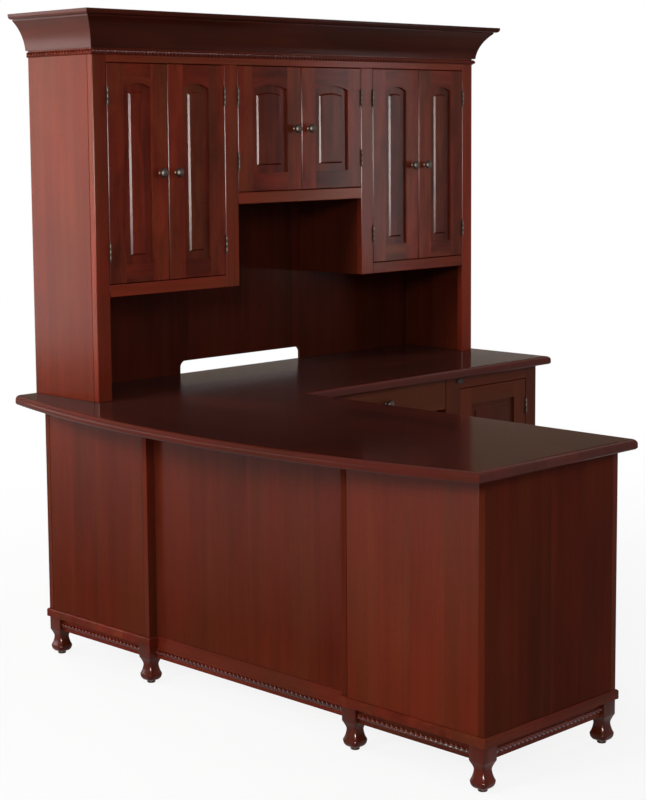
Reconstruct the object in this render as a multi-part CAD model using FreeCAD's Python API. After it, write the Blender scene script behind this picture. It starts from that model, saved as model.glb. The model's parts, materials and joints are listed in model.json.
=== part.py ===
import FreeCAD, Part
import math
import os

from FreeCAD import Vector

# L-shaped desk with a hutch, in millimetres, +Z up. The origin lies on the floor under the middle of the overall
# box. The bowed visitor side of the desk faces -Y, the drawer pedestal stands at +X, and the return runs back
# along the wall at -X. The hutch stands on the return with its doors facing +X.

# Tops
desk_height = 762
top_thickness = 26
top_edge_radius = 13
top_under_chamfer = 4
top_length = 1714
bow = 115
front_overhang = 72
end_overhang = 42
rear_overhang = 22
return_depth = 590
return_reach = 1124
return_front_overhang = 33
return_end_overhang = 38

# Pedestals and modesty panel
pedestal_width = 450
pedestal_depth = 504
panel_thickness = 18
panel_groove = 2
modesty_setback = 28
back_thickness = 12

# Base and feet
foot_height = 111
foot_width = 46
foot_block_height = 38
foot_neck_width = 34
foot_neck_height = 52
foot_bulge_width = 49.5
foot_bulge_height = 26
foot_toe_width = 27
foot_neck_hollow = 2
foot_bulge_swell = 3
glide_height = 8
glide_radius = 11.5
glide_facet_count = 10
lip_thickness = 24
lip_projection = 6
strip_projection = 2
apron_height = 39
apron_thickness = 18
apron_setback = 12
base_bead_radius = 7
base_bead_drop = 21

# Return
frame_thickness = 20
cabinet_width = 450
cabinet_left_stile = 63
cabinet_right_stile = 52
cabinet_top_rail = 40
cabinet_bottom_rail = 35
return_filler = 108
return_drawer_height = 100
lock_width = 26
lock_height = 13
lock_projection = 5
lock_drop = 9

# Hutch
hutch_setback = 74
hutch_end_setback = 48
hutch_depth = 290
hutch_height = 1076
hutch_side_thickness = 20
hutch_frame_thickness = 22
outer_stile = 48
inner_stile = 51.5
side_opening = 437
side_bay_height = 290
centre_bay_height = 531
cabinet_rail = 34
door_top_drop = 139
carcass_drop = 16
board_thickness = 18
shelf_setback = 12
cord_slot_width = 520
cord_slot_height = 40
cord_slot_radius = 22

# Crown, as distances out from the hutch and up from the underside of the crown
crown_projection = 66
crown_height = 101
crown_cap_height = 15
crown_cap_inset = 9
crown_cove_inset = 15.5
crown_foot_projection = 8.5
crown_fillet = 4
crown_cove_hollow = 8.5
crown_bead_radius = 8
crown_bead_drop = 11

# Doors
door_thickness = 20
hinge_gap = 2
door_gap = 2
meeting_gap = 3
door_stile = 58
door_top_rail = 54
door_bottom_rail = 54
arch_rise = 14
panel_depth = 7.5
panel_tongue = 8
panel_tongue_thickness = 6
panel_play = 0.3
field_border = 27
field_rise = 4.8

# Knobs and hinges
knob_radius = 13.5
knob_projection = 26
knob_foot_radius = 7.5
knob_foot_height = 2
knob_neck_radius = 4
knob_neck_height = 10
knob_rim_height = 15.5
knob_facet_count = 10
knob_inset = 28
hinge_inset = 90
hinge_length = 48
hinge_knuckle = 16
hinge_radius = 3.2
hinge_pin_radius = 1.5
hinge_offset = 3.5
hinge_pin_play = 0.05
hinge_end_play = 0.3
hinge_tip_height = 4.5
hinge_tip_radius = 1
hinge_facet_count = 6
leaf_thickness = 0.8
leaf_depth = 16

# Drawers
drawer_stile = 40
drawer_top_rail = 22
drawer_rail = 20
drawer_bottom_rail = 24
box_drawer_opening = 130
drawer_board = 12
drawer_bottom_thickness = 6
drawer_bottom_rise = 8
drawer_side_gap = 5
drawer_end_gap = 22
drawer_headroom = 10
runner_height = 18
runner_rise = 6
runner_play = 0.3

# How near two lines are when they count as one
touching = 0.01

# Places that follow from the sizes
half_length = top_length / 2
wall_x = -half_length
right_x = half_length - end_overhang
left_x = wall_x + end_overhang
drawer_pedestal_x = (right_x - pedestal_width, right_x)
corner_pedestal_x = (left_x, left_x + pedestal_width)
front_reach = front_overhang + bow
return_total = pedestal_depth + rear_overhang + return_reach
hutch_width = return_total - hutch_end_setback + front_overhang - hutch_setback
hutch_reach = return_total - hutch_end_setback + crown_projection
panel_y = (front_reach - max(hutch_reach, return_total)) / 2
pedestal_y = (panel_y, panel_y + pedestal_depth)
top_front_y = panel_y - front_overhang
top_back_y = pedestal_y[1] + rear_overhang
return_end_y = top_back_y + return_reach
return_edge_x = wall_x + return_depth
return_face_x = return_edge_x - return_front_overhang
return_frame_x = (return_face_x - frame_thickness, return_face_x)
return_inside_x = (left_x + back_thickness, return_face_x - frame_thickness)
cabinet_end_y = return_end_y - return_end_overhang
cabinet_y = (cabinet_end_y - cabinet_width, cabinet_end_y)
cabinet_x = (left_x, return_face_x)
return_drawer_y = (pedestal_y[1] + return_filler, cabinet_y[0])
return_drawer_width = return_drawer_y[1] - return_drawer_y[0]
top_under = desk_height - top_thickness
floor_z = foot_height + lip_thickness
panel_z = (floor_z, top_under)

os.makedirs("parts", exist_ok=True)


def save(node, solids):
    """Write one sub-part, made of one or more separate solids."""
    Part.Compound(solids).exportStep(f"parts/{node}.step")


def board(x, y, z):
    """A flat board between limits along X, Y and Z."""
    return Part.makeBox(x[1] - x[0], y[1] - y[0], z[1] - z[0], Vector(x[0], y[0], z[0]))


def line(start, end):
    return Part.LineSegment(start, end).toShape()


def arc(start, middle, end):
    return Part.Arc(start, middle, end).toShape()


def face_of(edges):
    return Part.Face(Part.Wire(edges))


def level_edges(shape, z):
    """The edges of a shape that lie flat at one height."""
    flat = [edge for edge in shape.Edges if edge.BoundBox.ZLength < touching]
    return [edge for edge in flat if abs(edge.CenterOfMass.z - z) < touching]


def turned(sides, profile):
    """A solid turned about Z from radii and heights, in flats to keep small repeated pieces light."""
    rings = []
    for radius, height in profile:
        turns = [2 * math.pi * (step + 0.5) / sides for step in range(sides)]
        ring = [Vector(radius * math.cos(turn), radius * math.sin(turn), height) for turn in turns]
        rings.append(ring + ring[:1])
    faces = [Part.Face(Part.makePolygon(rings[0])), Part.Face(Part.makePolygon(rings[-1]))]
    for lower, upper in zip(rings, rings[1:]):
        for step in range(sides):
            flat = [lower[step], lower[step + 1], upper[step + 1], upper[step], lower[step]]
            faces.append(Part.Face(Part.makePolygon(flat)))
    return Part.makeSolid(Part.makeShell(faces))


# The two tops are cut from one L-shaped outline so that their round-over meets in a mitre at the inner corner.
# The front edge is a shallow arc, and the wall edge stays square for the hutch to stand on.
def tops():
    corners = [
        Vector(wall_x, top_front_y, top_under),
        Vector(half_length, top_front_y, top_under),
        Vector(half_length, top_back_y, top_under),
        Vector(return_edge_x, top_back_y, top_under),
        Vector(return_edge_x, return_end_y, top_under),
        Vector(wall_x, return_end_y, top_under),
    ]
    edges = [arc(corners[0], Vector(0, top_front_y - bow, top_under), corners[1])]
    for start, end in zip(corners[1:], corners[2:] + corners[:1]):
        edges.append(line(start, end))
    slab = face_of(edges).extrude(Vector(0, 0, top_thickness))
    round_over = min(top_edge_radius, top_thickness - top_under_chamfer - touching)
    shown = [edge for edge in level_edges(slab, desk_height) if edge.CenterOfMass.x > wall_x + touching]
    slab = slab.makeFillet(round_over, shown)
    shown = [edge for edge in level_edges(slab, top_under) if edge.CenterOfMass.x > wall_x + touching]
    slab = slab.makeChamfer(top_under_chamfer, shown)
    all_x = (wall_x, half_length)
    all_z = (top_under, desk_height)
    desk_half = board(all_x, (top_front_y - bow - touching, top_back_y), all_z)
    return_half = board(all_x, (top_back_y, return_end_y), all_z)
    return slab.common(desk_half).Solids, slab.common(return_half).Solids


desk_top, return_top = tops()
save("desk_top", desk_top)
save("return_top", return_top)


# Base: a lip board under each box, a flat board under the modesty panel, aprons between the feet, and a half-round
# bead along each apron.
def lip_board(x, y):
    """A floor board that stands proud of the box above it, with a quarter-round edge."""
    grown_x = (x[0] - lip_projection, x[1] + lip_projection)
    grown_y = (y[0] - lip_projection, y[1] + lip_projection)
    slab = board(grown_x, grown_y, (foot_height, floor_z))
    return slab.makeFillet(min(lip_projection, lip_thickness / 2), level_edges(slab, floor_z))


def half_round(start, end, outward, radius):
    """A half-round bead along a line, bulging outward from the face it is planted on."""
    up = Vector(0, 0, radius)
    profile = [arc(start - up, start + outward * radius, start + up), line(start + up, start - up)]
    return face_of(profile).extrude(end - start)


def aprons(x, y, beaded):
    """Boards between the feet on the four sides of a box, with a bead on each of the sides that show."""
    z = (foot_height - apron_height, foot_height)
    near = (x[0] + foot_width, x[1] - foot_width)
    deep = (y[0] + foot_width, y[1] - foot_width)
    low_x = (x[0] + apron_setback, x[0] + apron_setback + apron_thickness)
    high_x = (x[1] - apron_setback - apron_thickness, x[1] - apron_setback)
    low_y = (y[0] + apron_setback, y[0] + apron_setback + apron_thickness)
    high_y = (y[1] - apron_setback - apron_thickness, y[1] - apron_setback)
    boards = [board(near, low_y, z), board(near, high_y, z), board(low_x, deep, z), board(high_x, deep, z)]
    bead_z = foot_height - base_bead_drop
    beads = []
    if "front" in beaded:
        start = Vector(near[0], low_y[0], bead_z)
        end = Vector(near[1], low_y[0], bead_z)
        beads.append(half_round(start, end, Vector(0, -1, 0), base_bead_radius))
    if "end" in beaded:
        start = Vector(high_x[1], deep[0], bead_z)
        end = Vector(high_x[1], deep[1], bead_z)
        beads.append(half_round(start, end, Vector(1, 0, 0), base_bead_radius))
    return boards, beads


def centre_base():
    """The flat board and the bead under the modesty panel, its top notched round the lips of the pedestals."""
    face_y = panel_y + modesty_setback - strip_projection
    depth = (face_y, panel_y + modesty_setback + panel_thickness)
    between = (corner_pedestal_x[1], drawer_pedestal_x[0])
    upper = board((between[0] + lip_projection, between[1] - lip_projection), depth, (foot_height, floor_z))
    lower = board(between, depth, (foot_height - apron_height, foot_height))
    start = Vector(between[0], face_y, foot_height - base_bead_drop)
    end = Vector(between[1], face_y, foot_height - base_bead_drop)
    strip = upper.fuse(lower).removeSplitter().Solids[0]
    return strip, half_round(start, end, Vector(0, -1, 0), base_bead_radius)


# Square ogee foot: a block, a hollow neck and a swelling bulb with four ridges, made where two like profiles cross.
def foot():
    def right(half, z):
        return Vector(half, 0, z)

    def left(half, z):
        return Vector(-half, 0, z)

    half = foot_width / 2
    neck = foot_neck_width / 2
    bulge = foot_bulge_width / 2
    toe = foot_toe_width / 2
    block_z = foot_height - foot_block_height
    hollow_z = (block_z + foot_neck_height) / 2
    hollow = (half + neck) / 2 - foot_neck_hollow
    flare_z = (foot_neck_height + foot_bulge_height) / 2
    flare = (neck + bulge) / 2 - foot_neck_hollow
    bulb_z = (foot_bulge_height + glide_height) / 2
    bulb = (bulge + toe) / 2 + foot_bulge_swell
    edges = [line(left(half, foot_height), right(half, foot_height))]
    for side in (right, left):
        edges.append(line(side(half, foot_height), side(half, block_z)))
        edges.append(arc(side(half, block_z), side(hollow, hollow_z), side(neck, foot_neck_height)))
        edges.append(arc(side(neck, foot_neck_height), side(flare, flare_z), side(bulge, foot_bulge_height)))
        edges.append(arc(side(bulge, foot_bulge_height), side(bulb, bulb_z), side(toe, glide_height)))
    edges.append(line(left(toe, glide_height), right(toe, glide_height)))
    width = max(foot_width, foot_bulge_width)
    profile = Part.Face(Part.Wire(Part.sortEdges(edges)[0]))
    across = profile.translated(Vector(0, -width / 2, 0)).extrude(Vector(0, width, 0))
    along = across.copy()
    along.rotate(Vector(), Vector(0, 0, 1), 90)
    return across.common(along).Solids[0]


def base():
    boxes = [
        (drawer_pedestal_x, pedestal_y, ("front", "end")),
        (corner_pedestal_x, pedestal_y, ("front",)),
        (cabinet_x, cabinet_y, ("end",)),
    ]
    strip, bead = centre_base()
    lips = []
    apron_boards = [strip]
    beads = [bead]
    feet = []
    glides = []
    one_foot = foot()
    one_glide = turned(glide_facet_count, [(glide_radius, 0), (glide_radius, glide_height)])
    for x, y, beaded in boxes:
        lips.append(lip_board(x, y))
        box_boards, box_beads = aprons(x, y, beaded)
        apron_boards += box_boards
        beads += box_beads
        for foot_x in (x[0] + foot_width / 2, x[1] - foot_width / 2):
            for foot_y in (y[0] + foot_width / 2, y[1] - foot_width / 2):
                place = Vector(foot_x, foot_y, 0)
                feet.append(one_foot.translated(place))
                glides.append(one_glide.translated(place))
    save("base_lips", lips)
    save("base_aprons", apron_boards)
    save("base_rope_moulding", beads)
    save("feet", feet)
    save("foot_glides", glides)


base()


# Pedestals: side panels whose front edges show, with a fine groove where each front panel meets them, and a
# modesty panel set back between the two pedestals.
def pedestals():
    def side_panels(x, back_y):
        y = (panel_y, back_y)
        outer = (x[0], x[0] + panel_thickness)
        inner = (x[1] - panel_thickness, x[1])
        return [board(outer, y, panel_z), board(inner, y, panel_z)]

    def front_panel(x):
        between = (x[0] + panel_thickness, x[1] - panel_thickness)
        panel = board(between, (panel_y, panel_y + panel_thickness), panel_z)
        upright = [edge for edge in panel.Edges if edge.BoundBox.ZLength > panel_thickness]
        front = [edge for edge in upright if abs(edge.CenterOfMass.y - panel_y) < touching]
        return panel.makeChamfer(panel_groove, front)

    save("pedestal_front_panels", [front_panel(drawer_pedestal_x), front_panel(corner_pedestal_x)])
    save("drawer_pedestal_sides", side_panels(drawer_pedestal_x, pedestal_y[1] - frame_thickness))
    back_x = (corner_pedestal_x[0] + panel_thickness, corner_pedestal_x[1] - panel_thickness)
    back = board(back_x, (pedestal_y[1] - panel_thickness, pedestal_y[1]), panel_z)
    save("corner_pedestal_panels", side_panels(corner_pedestal_x, pedestal_y[1]) + [back])
    modesty_y = panel_y + modesty_setback
    modesty_x = (corner_pedestal_x[1], drawer_pedestal_x[0])
    save("modesty_panel", [board(modesty_x, (modesty_y, modesty_y + panel_thickness), panel_z)])


pedestals()


# A turned knob on the X axis: a foot ring, a thin neck and a domed mushroom cap.
def knob():
    dome_height = knob_projection - knob_rim_height
    shoulder = math.radians(30)
    crown = math.radians(70)
    profile = [
        (knob_foot_radius, 0),
        (knob_foot_radius, knob_foot_height),
        (knob_neck_radius, knob_foot_height * 2),
        (knob_neck_radius, knob_neck_height),
        (knob_radius, knob_rim_height),
        (knob_radius * math.cos(shoulder), knob_rim_height + dome_height * math.sin(shoulder)),
        (knob_radius * math.cos(crown), knob_projection),
    ]
    solid = turned(knob_facet_count, profile)
    solid.rotate(Vector(), Vector(0, 1, 0), 90)
    return solid


# Drawers are drawn facing +Y over the middle of their opening's lower edge, and then turned and moved into place.
def drawer(node, width, height, depth, place, turn):
    """Save an inset drawer: its front, its box with a let-in bottom, and its knob."""
    def settle(solid):
        solid.rotate(Vector(), Vector(0, 0, 1), turn)
        return solid.translated(place)

    front_x = (door_gap - width / 2, width / 2 - door_gap)
    front = board(front_x, (-door_thickness, 0), (door_gap, height - door_gap))
    half = width / 2 - drawer_side_gap
    box_y = (-door_thickness - depth, -door_thickness)
    box_z = (runner_rise + runner_play, height - drawer_headroom)
    inner_x = (drawer_board - half, half - drawer_board)
    bottom_z = box_z[0] + drawer_bottom_rise
    inner_y = (box_y[0] + drawer_board, box_y[1] - drawer_board)
    box = [
        board((-half, drawer_board - half), box_y, box_z),
        board((half - drawer_board, half), box_y, box_z),
        board(inner_x, (box_y[0], box_y[0] + drawer_board), box_z),
        board(inner_x, (box_y[1] - drawer_board, box_y[1]), box_z),
        board(inner_x, inner_y, (bottom_z, bottom_z + drawer_bottom_thickness)),
    ]
    pull = knob()
    pull.rotate(Vector(), Vector(0, 0, 1), 90)
    save(f"{node}_front", [settle(front)])
    save(f"{node}_box", [settle(solid) for solid in box])
    save(f"{node}_knob", [settle(pull.translated(Vector(0, 0, height / 2)))])


# The user's side of the drawer pedestal: a frame, two box drawers and a file drawer on wooden runners.
def desk_drawers():
    x = drawer_pedestal_x
    back_y = pedestal_y[1]
    frame_y = (back_y - frame_thickness, back_y)
    opening_x = (x[0] + drawer_stile, x[1] - drawer_stile)
    width = opening_x[1] - opening_x[0]
    frame = [
        board((x[0], opening_x[0]), frame_y, panel_z),
        board((opening_x[1], x[1]), frame_y, panel_z),
        board(opening_x, frame_y, (top_under - drawer_top_rail, top_under)),
        board(opening_x, frame_y, (floor_z, floor_z + drawer_bottom_rail)),
    ]
    openings = []
    upper_z = top_under - drawer_top_rail
    for node in ("upper_drawer", "middle_drawer"):
        lower_z = upper_z - box_drawer_opening
        openings.append((node, lower_z, upper_z))
        frame.append(board(opening_x, frame_y, (lower_z - drawer_rail, lower_z)))
        upper_z = lower_z - drawer_rail
    openings.append(("file_drawer", floor_z + drawer_bottom_rail, upper_z))
    save("drawer_pedestal_frame", frame)
    runner_y = (panel_y + panel_thickness, back_y - frame_thickness)
    depth = runner_y[1] - runner_y[0] - drawer_end_gap
    runner_reach = drawer_stile + drawer_side_gap + drawer_board
    runners = []
    for node, lower_z, upper_z in openings:
        runner_z = (lower_z + runner_rise - runner_height, lower_z + runner_rise)
        runners.append(board((x[0] + panel_thickness, x[0] + runner_reach), runner_y, runner_z))
        runners.append(board((x[1] - runner_reach, x[1] - panel_thickness), runner_y, runner_z))
        place = Vector((x[0] + x[1]) / 2, back_y, lower_z)
        drawer(node, width, upper_z - lower_z, depth, place, 0)
    return runners


# The return: a back panel, a cabinet at its far end, a drawer hung under the top beside it, and a face frame.
def return_carcass():
    inner = (cabinet_y[0], cabinet_y[0] + panel_thickness)
    outer = (cabinet_y[1] - panel_thickness, cabinet_y[1])
    drawer_z = top_under - return_drawer_height
    hanger_y = (return_drawer_y[0] - panel_thickness, return_drawer_y[0])
    hanger_z = (drawer_z + runner_rise - runner_height, top_under)
    save("return_back", [board((left_x, return_inside_x[0]), (pedestal_y[1], outer[0]), panel_z)])
    uprights = [
        board(return_inside_x, inner, panel_z),
        board((left_x, return_inside_x[1]), outer, panel_z),
        board(return_inside_x, hanger_y, hanger_z),
    ]
    save("return_uprights", uprights)
    opening_y = (cabinet_y[0] + cabinet_left_stile, cabinet_y[1] - cabinet_right_stile)
    opening_z = (floor_z + cabinet_bottom_rail, top_under - cabinet_top_rail)
    frame = [
        board(return_frame_x, (pedestal_y[1], return_drawer_y[0]), (drawer_z, top_under)),
        board(return_frame_x, (cabinet_y[0], opening_y[0]), panel_z),
        board(return_frame_x, (opening_y[1], cabinet_y[1]), panel_z),
        board(return_frame_x, opening_y, (opening_z[1], top_under)),
        board(return_frame_x, opening_y, (floor_z, opening_z[0])),
    ]
    save("return_face_frame", frame)
    lock_z = top_under - lock_drop - lock_height / 2
    lock_start = Vector(return_face_x, opening_y[0] - lock_width / 2, lock_z)
    bar = Part.makeBox(lock_projection, lock_width, lock_height, lock_start - Vector(0, 0, lock_height / 2))
    ends = [edge for edge in bar.Edges if edge.BoundBox.XLength > lock_projection - touching]
    save("return_lock", [bar.makeFillet(lock_height * 0.45, ends)])
    runner_z = (hanger_z[0], drawer_z + runner_rise)
    runner_width = drawer_side_gap + drawer_board
    runners = [
        board(return_inside_x, (return_drawer_y[0], return_drawer_y[0] + runner_width), runner_z),
        board(return_inside_x, (return_drawer_y[1] - runner_width, return_drawer_y[1]), runner_z),
    ]
    depth = return_inside_x[1] - return_inside_x[0] - drawer_end_gap
    place = Vector(return_face_x, sum(return_drawer_y) / 2, drawer_z)
    drawer("return_drawer", return_drawer_width, return_drawer_height, depth, place, -90)
    return runners, opening_y, opening_z


desk_runners = desk_drawers()
return_runners, return_door_y, return_door_z = return_carcass()
save("drawer_runners", desk_runners + return_runners)


# Hutch carcass: ends, dividers, floors, a top and a back with a cord slot, behind a face frame.
hutch_y0 = top_front_y + hutch_setback
hutch_y1 = hutch_y0 + hutch_width
hutch_face_x = wall_x + hutch_depth
hutch_top_z = desk_height + hutch_height
carcass_z = hutch_top_z - carcass_drop
hutch_back_x = (wall_x, wall_x + back_thickness)
hutch_inside_x = (wall_x + back_thickness, hutch_face_x - hutch_frame_thickness)
hutch_frame_x = (hutch_face_x - hutch_frame_thickness, hutch_face_x)
left_opening_y = (hutch_y0 + outer_stile, hutch_y0 + outer_stile + side_opening)
right_opening_y = (hutch_y1 - outer_stile - side_opening, hutch_y1 - outer_stile)
centre_opening_y = (left_opening_y[1] + inner_stile, right_opening_y[0] - inner_stile)
side_rail_z = (desk_height + side_bay_height, desk_height + side_bay_height + cabinet_rail)
centre_rail_z = (desk_height + centre_bay_height, desk_height + centre_bay_height + cabinet_rail)
door_top_z = hutch_top_z - door_top_drop


def hutch_carcass():
    left_divider = (centre_opening_y[0] - hutch_side_thickness, centre_opening_y[0])
    right_divider = (centre_opening_y[1], centre_opening_y[1] + hutch_side_thickness)
    left_inside = (hutch_y0 + hutch_side_thickness, left_divider[0])
    right_inside = (right_divider[1], hutch_y1 - hutch_side_thickness)
    end_x = (wall_x, hutch_frame_x[0])
    top_z = (carcass_z - board_thickness, carcass_z)
    uprights = [
        board(end_x, (hutch_y0, left_inside[0]), (desk_height, carcass_z)),
        board(end_x, (right_inside[1], hutch_y1), (desk_height, carcass_z)),
        board(hutch_inside_x, left_divider, (side_rail_z[0], top_z[0])),
        board(hutch_inside_x, right_divider, (side_rail_z[0], top_z[0])),
    ]
    save("hutch_uprights", uprights)
    save("hutch_top", [board(hutch_inside_x, (left_inside[0], right_inside[1]), top_z)])
    floors = []
    for y, sill in ((left_inside, side_rail_z), (centre_opening_y, centre_rail_z), (right_inside, side_rail_z)):
        floors.append(board(hutch_inside_x, y, (sill[1] - board_thickness, sill[1])))
    save("hutch_cabinet_floors", floors)
    shelf_x = (hutch_inside_x[0], hutch_inside_x[1] - shelf_setback)
    shelf_z = (side_rail_z[1] + door_top_z - board_thickness) / 2
    hutch_shelf_z = (shelf_z, shelf_z + board_thickness)
    cabinet_shelf_x = (return_inside_x[0], return_inside_x[1] - shelf_setback)
    cabinet_inside_y = (cabinet_y[0] + panel_thickness, cabinet_y[1] - panel_thickness)
    cabinet_floor_z = (return_door_z[0] - board_thickness, return_door_z[0])
    cabinet_mid_z = (return_door_z[0] + return_door_z[1] - board_thickness) / 2
    shelves = [
        board(shelf_x, left_inside, hutch_shelf_z),
        board(shelf_x, right_inside, hutch_shelf_z),
        board(return_inside_x, cabinet_inside_y, cabinet_floor_z),
        board(cabinet_shelf_x, cabinet_inside_y, (cabinet_mid_z, cabinet_mid_z + board_thickness)),
    ]
    save("shelves", shelves)
    back = board(hutch_back_x, (left_inside[0], right_inside[1]), (desk_height, carcass_z))
    middle_y = (hutch_y0 + hutch_y1) / 2
    slot_y = (middle_y - cord_slot_width / 2, middle_y + cord_slot_width / 2)
    slot = board(hutch_back_x, slot_y, (desk_height, desk_height + cord_slot_height))
    upper = level_edges(slot, desk_height + cord_slot_height)
    corners = [edge for edge in upper if edge.BoundBox.XLength > edge.BoundBox.YLength]
    slot = slot.makeFillet(min(cord_slot_radius, cord_slot_height / 2), corners)
    save("hutch_back", back.cut(slot).Solids)


def hutch_face_frame():
    frame = [
        board(hutch_frame_x, (hutch_y0, left_opening_y[0]), (desk_height, carcass_z)),
        board(hutch_frame_x, (right_opening_y[1], hutch_y1), (desk_height, carcass_z)),
        board(hutch_frame_x, (left_opening_y[0], right_opening_y[1]), (door_top_z, carcass_z)),
        board(hutch_frame_x, (left_opening_y[1], centre_opening_y[0]), (side_rail_z[0], door_top_z)),
        board(hutch_frame_x, (centre_opening_y[1], right_opening_y[0]), (side_rail_z[0], door_top_z)),
        board(hutch_frame_x, left_opening_y, side_rail_z),
        board(hutch_frame_x, right_opening_y, side_rail_z),
        board(hutch_frame_x, centre_opening_y, centre_rail_z),
    ]
    save("hutch_face_frame", frame)


# Crown: a cap over a deep cove and a foot fillet, run along the front and both ends and mitred at the corners,
# with a half-round bead under it.
def crown_profile(start, outward):
    def at(out, up):
        return start + outward * out + Vector(0, 0, up)

    cap_z = crown_height - crown_cap_height
    cap_foot = crown_projection - crown_cap_inset
    cove_top = crown_projection - crown_cove_inset
    cove_z = cap_z - crown_fillet
    cove_middle_out = (crown_foot_projection + cove_top) / 2 - crown_cove_hollow * 0.85
    cove_middle_up = (crown_fillet + cove_z) / 2 + crown_cove_hollow * 0.45
    cap_round = crown_cap_inset * 0.8
    edges = [
        line(at(0, 0), at(crown_foot_projection, 0)),
        line(at(crown_foot_projection, 0), at(crown_foot_projection, crown_fillet)),
        arc(
            at(crown_foot_projection, crown_fillet),
            at(cove_middle_out, cove_middle_up),
            at(cove_top, cove_z),
        ),
        line(at(cove_top, cove_z), at(cove_top, cap_z)),
        line(at(cove_top, cap_z), at(cap_foot, cap_z)),
        arc(
            at(cap_foot, cap_z),
            at(crown_projection - crown_cap_inset + cap_round, cap_z + crown_cap_height * 0.3),
            at(crown_projection, cap_z + crown_cap_height * 0.7),
        ),
        line(at(crown_projection, cap_z + crown_cap_height * 0.7), at(crown_projection, crown_height)),
        line(at(crown_projection, crown_height), at(0, crown_height)),
        line(at(0, crown_height), at(0, 0)),
    ]
    return face_of(edges)


def bead_profile(start, outward):
    up = Vector(0, 0, crown_bead_radius)
    return face_of([arc(start - up, start + outward * crown_bead_radius, start + up), line(start + up, start - up)])


def mitred(profile, z):
    """A moulding along the front and both ends of the hutch, cut at 45 degrees at the two corners."""
    reach = crown_projection
    end_run = Vector(hutch_depth + reach, 0, 0)
    front_run = Vector(0, hutch_width + 2 * reach, 0)
    outer_x = hutch_face_x + reach
    left_outer = hutch_y0 - reach
    right_outer = hutch_y1 + reach
    runs = [
        (
            profile(Vector(hutch_face_x, left_outer, z), Vector(1, 0, 0)).extrude(front_run),
            [(hutch_face_x, hutch_y0), (outer_x, left_outer), (outer_x, right_outer), (hutch_face_x, hutch_y1)],
        ),
        (
            profile(Vector(wall_x, hutch_y0, z), Vector(0, -1, 0)).extrude(end_run),
            [(wall_x, hutch_y0), (wall_x, left_outer), (outer_x, left_outer), (hutch_face_x, hutch_y0)],
        ),
        (
            profile(Vector(wall_x, hutch_y1, z), Vector(0, 1, 0)).extrude(end_run),
            [(wall_x, hutch_y1), (hutch_face_x, hutch_y1), (outer_x, right_outer), (wall_x, right_outer)],
        ),
    ]
    pieces = []
    for length, plan in runs:
        corners = [Vector(x, y, desk_height) for x, y in plan]
        wedge = Part.Face(Part.makePolygon(corners + corners[:1])).extrude(Vector(0, 0, hutch_height))
        pieces += length.common(wedge).Solids
    return pieces


hutch_carcass()
hutch_face_frame()
crown_z = hutch_top_z - crown_height
save("hutch_crown", mitred(crown_profile, crown_z))
save("hutch_rope_moulding", mitred(bead_profile, crown_z - crown_bead_drop))


# Doors: square-edged stiles and rails, an arched top rail, and a raised panel whose tongue sits in a groove all
# round and whose field has a shoulder at 45 degrees.
def door_outline(x, y, z, rise, grow):
    """The opening's outline at x, grown on all sides, its arch kept concentric."""
    middle = (y[0] + y[1]) / 2
    half = (y[1] - y[0]) / 2
    wide = half + grow
    foot_z = z[0] - grow
    if rise == 0:
        shoulder_z = z[1] + grow
        corners = [(-wide, foot_z), (wide, foot_z), (wide, shoulder_z), (-wide, shoulder_z)]
        points = [Vector(x, middle + across, up) for across, up in corners]
        return Part.makePolygon(points + points[:1])
    radius = (half ** 2 + rise ** 2) / (2 * rise)
    arch_z = z[1] + rise - radius
    shoulder_z = arch_z + math.sqrt((radius + grow) ** 2 - wide ** 2)
    left_foot = Vector(x, middle - wide, foot_z)
    right_foot = Vector(x, middle + wide, foot_z)
    right_shoulder = Vector(x, middle + wide, shoulder_z)
    left_shoulder = Vector(x, middle - wide, shoulder_z)
    crown = Vector(x, middle, arch_z + radius + grow)
    edges = [
        line(left_foot, right_foot),
        line(right_foot, right_shoulder),
        arc(right_shoulder, crown, left_shoulder),
        line(left_shoulder, left_foot),
    ]
    return Part.Wire(edges)


def door_frame_and_panel(face_x, y, z, rise):
    opening_y = (y[0] + door_stile, y[1] - door_stile)
    opening_z = (z[0] + door_bottom_rail, z[1] - door_top_rail - rise)

    def prism(near, far, grow):
        outline = door_outline(face_x - far, opening_y, opening_z, rise, grow)
        return Part.Face(outline).extrude(Vector(far - near, 0, 0))

    tongue_back = panel_depth + panel_tongue_thickness
    blank = board((face_x - door_thickness, face_x), y, z)
    frame = blank.cut(prism(0, door_thickness, 0))
    frame = frame.cut(prism(panel_depth, tongue_back, panel_tongue + panel_play))
    whole_x = (face_x - door_thickness, face_x)
    middle_z = (z[0] + z[1]) / 2
    cuts = [
        board(whole_x, (y[0], opening_y[0]), z),
        board(whole_x, (opening_y[1], y[1]), z),
        board(whole_x, opening_y, (z[0], middle_z)),
        board(whole_x, opening_y, (middle_z, z[1])),
    ]
    members = []
    for cut in cuts:
        members += frame.common(cut).Solids
    panel = prism(panel_depth, tongue_back, panel_tongue)
    field = prism(panel_depth - field_rise, tongue_back, field_rise - field_border)
    level = [edge for edge in field.Edges if edge.BoundBox.XLength < touching]
    middle_x = field.BoundBox.Center.x
    field = field.makeChamfer(field_rise, [edge for edge in level if edge.CenterOfMass.x > middle_x])
    return members, panel.fuse(field).removeSplitter().Solids


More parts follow.
